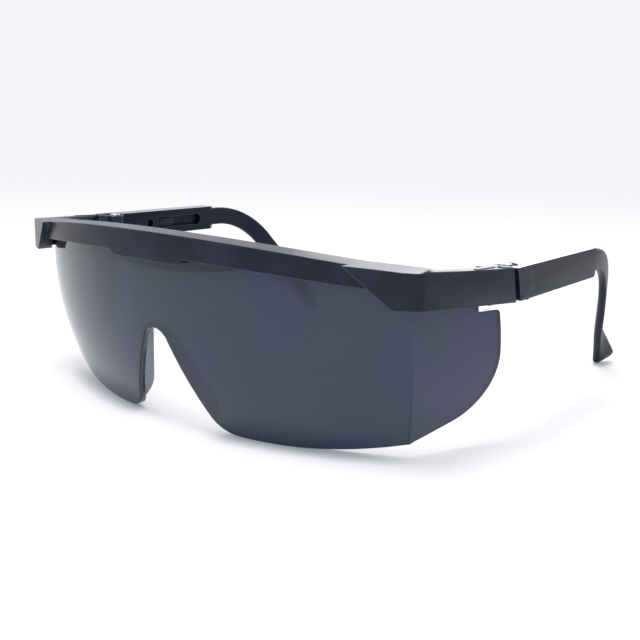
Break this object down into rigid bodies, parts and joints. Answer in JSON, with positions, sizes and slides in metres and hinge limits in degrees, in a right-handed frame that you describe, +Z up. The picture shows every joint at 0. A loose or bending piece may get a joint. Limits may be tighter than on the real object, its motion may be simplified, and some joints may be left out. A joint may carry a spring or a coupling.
{
  "type": "welding glasses",
  "caption": "Wrap-round welding glasses with a one-piece smoke lens and side shields under a black brow frame, and folding temples with sliding ear arms.",
  "frame": {"origin": "middle of the footprint, on the surface the glasses stand on", "axes": "+X is the wearer's left, -Y is the front of the lens, +Z is up"},
  "size_m": [0.1572, 0.1596, 0.053],
  "materials": {
    "black_frame": "moulded gloss, blue-black",
    "smoke_lens": "polished smoke polycarbonate",
    "black_temple": "moulded gloss, blue-black",
    "black_arm": "moulded gloss, blue-black",
    "steel_pin": "satin"
  },
  "bodies": {
    "frame": {"brow_frame": "black_frame", "lens": "smoke_lens", "hinge_pin_left": "steel_pin", "hinge_pin_right": "steel_pin"},
    "sleeve_left": {"temple_sleeve_left": "black_temple"},
    "sleeve_right": {"temple_sleeve_right": "black_temple"},
    "arm_left": {"ear_arm_left": "black_arm"},
    "arm_right": {"ear_arm_right": "black_arm"}
  },
  "joints": [
    {"name": "hinge_left", "type": "hinge", "parent": "frame", "child": "sleeve_left", "pos_m": [0.0732, -0.02662, 0.0435], "axis": [0, 0, 1], "range_deg": [0, 90]},
    {"name": "hinge_right", "type": "hinge", "parent": "frame", "child": "sleeve_right", "pos_m": [-0.0732, -0.02662, 0.0435], "axis": [0, 0, -1], "range_deg": [0, 80]},
    {"name": "arm_slide_left", "type": "slide", "parent": "sleeve_left", "child": "arm_left", "axis": [0, 1, 0], "range_m": [0, 0.011]},
    {"name": "arm_slide_right", "type": "slide", "parent": "sleeve_right", "child": "arm_right", "axis": [0, 1, 0], "range_m": [0, 0.011]}
  ]
}
